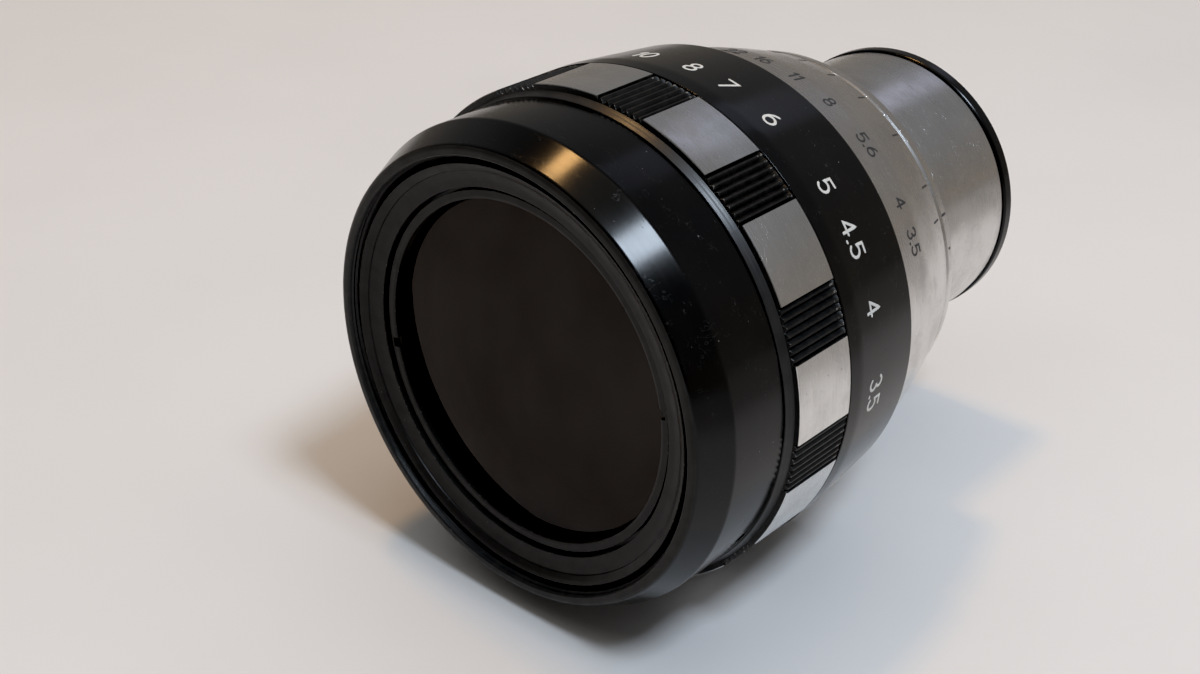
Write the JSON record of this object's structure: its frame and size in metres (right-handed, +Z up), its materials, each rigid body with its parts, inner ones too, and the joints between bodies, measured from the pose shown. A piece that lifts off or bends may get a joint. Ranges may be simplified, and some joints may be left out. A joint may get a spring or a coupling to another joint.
{
  "type": "prime camera lens",
  "caption": "Manual prime camera lens with a zebra-pattern focusing ring, a silver aperture ring with an iris behind it, a black front barrel with filter recess and a straight rear tube.",
  "frame": {"origin": "centre of the rear seating face, on the optical axis", "axes": "+Y along the optical axis towards the camera, so the front of the lens faces -Y; +Z up as the lens lies"},
  "size_m": [0.0718, 0.0915, 0.0718],
  "materials": {
    "black_paint": "glossy black enamel",
    "zebra_aluminium": "bright satin lands between black-anodised ridges",
    "satin_aluminium": "fine-turned satin",
    "black_anodised": "black anodised",
    "worn_grey": "worn, finely turned grey-black",
    "matt_black": "matt black",
    "brass": "machined and greased",
    "steel": "oiled steel",
    "blued_steel": "blued sheet",
    "coated_glass": "polished, warm single coating"
  },
  "bodies": {
    "fixed_barrel": {"main_barrel": "black_anodised", "rear_flange": "black_anodised", "guide_tube": "brass", "guide_key_1": "steel", "guide_key_2": "steel", "key_screw_1": "steel", "key_screw_2": "steel", "thrust_ring": "brass", "index_ring": "satin_aluminium", "rear_tube": "satin_aluminium", "rear_rim": "black_anodised", "rear_baffle": "matt_black", "focus_stop_pin": "steel"},
    "focus_ring": {"grip_ring": "zebra_aluminium", "distance_ring": "black_paint", "helicoid_ring": "black_anodised", "grip_screw_1": "steel", "grip_screw_2": "steel"},
    "aperture_control": {"aperture_ring": "satin_aluminium", "aperture_fork": "steel", "fork_screw": "steel"},
    "lens_head": {"front_barrel": "black_paint", "male_helicoid": "brass", "barrel_screw_1": "steel", "barrel_screw_2": "steel", "front_trim_ring": "worn_grey", "front_retaining_ring": "worn_grey", "front_element": "coated_glass", "front_spacer": "black_anodised", "optical_cell": "black_anodised", "second_element": "coated_glass", "inner_retaining_ring": "black_anodised", "third_element": "coated_glass", "iris_housing": "matt_black", "rear_cell": "black_anodised", "rear_element": "coated_glass", "rear_retaining_ring": "black_anodised"},
    "iris_drive": {"iris_drive_ring": "brass"},
    "blade_1": {"iris_blade_1": "blued_steel"},
    "blade_2": {"iris_blade_2": "blued_steel"},
    "blade_3": {"iris_blade_3": "blued_steel"},
    "blade_4": {"iris_blade_4": "blued_steel"},
    "blade_5": {"iris_blade_5": "blued_steel"},
    "blade_6": {"iris_blade_6": "blued_steel"},
    "blade_7": {"iris_blade_7": "blued_steel"},
    "blade_8": {"iris_blade_8": "blued_steel"}
  },
  "joints": [
    {"name": "focus_turn", "type": "hinge", "parent": "fixed_barrel", "child": "focus_ring", "pos_m": [0, -0.062, 0], "axis": [0, -1, 0], "range_deg": [0, 270]},
    {"name": "head_slide", "type": "slide", "parent": "fixed_barrel", "child": "lens_head", "axis": [0, -1, 0], "range_m": [0, 0.0095]},
    {"name": "aperture_turn", "type": "hinge", "parent": "fixed_barrel", "child": "aperture_control", "pos_m": [0, -0.039, 0], "axis": [0, 1, 0], "range_deg": [0, 70]},
    {"name": "iris_drive_turn", "type": "hinge", "parent": "lens_head", "child": "iris_drive", "pos_m": [0, -0.0585, 0], "axis": [0, 1, 0], "range_deg": [0, 70]},
    {"name": "blade_turn_1", "type": "hinge", "parent": "lens_head", "child": "blade_1", "pos_m": [0.0205, -0.0644, 0], "axis": [0, 1, 0], "range_deg": [0, 33]},
    {"name": "blade_turn_2", "type": "hinge", "parent": "lens_head", "child": "blade_2", "pos_m": [0.0145, -0.0644, 0.0145], "axis": [0, 1, 0], "range_deg": [0, 33]},
    {"name": "blade_turn_3", "type": "hinge", "parent": "lens_head", "child": "blade_3", "pos_m": [0, -0.0644, 0.0205], "axis": [0, 1, 0], "range_deg": [0, 33]},
    {"name": "blade_turn_4", "type": "hinge", "parent": "lens_head", "child": "blade_4", "pos_m": [-0.0145, -0.0644, 0.0145], "axis": [0, 1, 0], "range_deg": [0, 33]},
    {"name": "blade_turn_5", "type": "hinge", "parent": "lens_head", "child": "blade_5", "pos_m": [-0.0205, -0.0644, 0], "axis": [0, 1, 0], "range_deg": [0, 33]},
    {"name": "blade_turn_6", "type": "hinge", "parent": "lens_head", "child": "blade_6", "pos_m": [-0.0145, -0.0644, -0.0145], "axis": [0, 1, 0], "range_deg": [0, 33]},
    {"name": "blade_turn_7", "type": "hinge", "parent": "lens_head", "child": "blade_7", "pos_m": [0, -0.0644, -0.0205], "axis": [0, 1, 0], "range_deg": [0, 33]},
    {"name": "blade_turn_8", "type": "hinge", "parent": "lens_head", "child": "blade_8", "pos_m": [0.0145, -0.0644, -0.0145], "axis": [0, 1, 0], "range_deg": [0, 33]}
  ],
  "couplings": [
    {"joint": "head_slide", "follows": "focus_turn", "m_per_rad": 0.002015},
    {"joint": "iris_drive_turn", "follows": "aperture_turn", "ratio": 1},
    {"joint": "blade_turn_1", "follows": "aperture_turn", "ratio": 0.461},
    {"joint": "blade_turn_2", "follows": "aperture_turn", "ratio": 0.461},
    {"joint": "blade_turn_3", "follows": "aperture_turn", "ratio": 0.461},
    {"joint": "blade_turn_4", "follows": "aperture_turn", "ratio": 0.461},
    {"joint": "blade_turn_5", "follows": "aperture_turn", "ratio": 0.461},
    {"joint": "blade_turn_6", "follows": "aperture_turn", "ratio": 0.461},
    {"joint": "blade_turn_7", "follows": "aperture_turn", "ratio": 0.461},
    {"joint": "blade_turn_8", "follows": "aperture_turn", "ratio": 0.461}
  ]
}
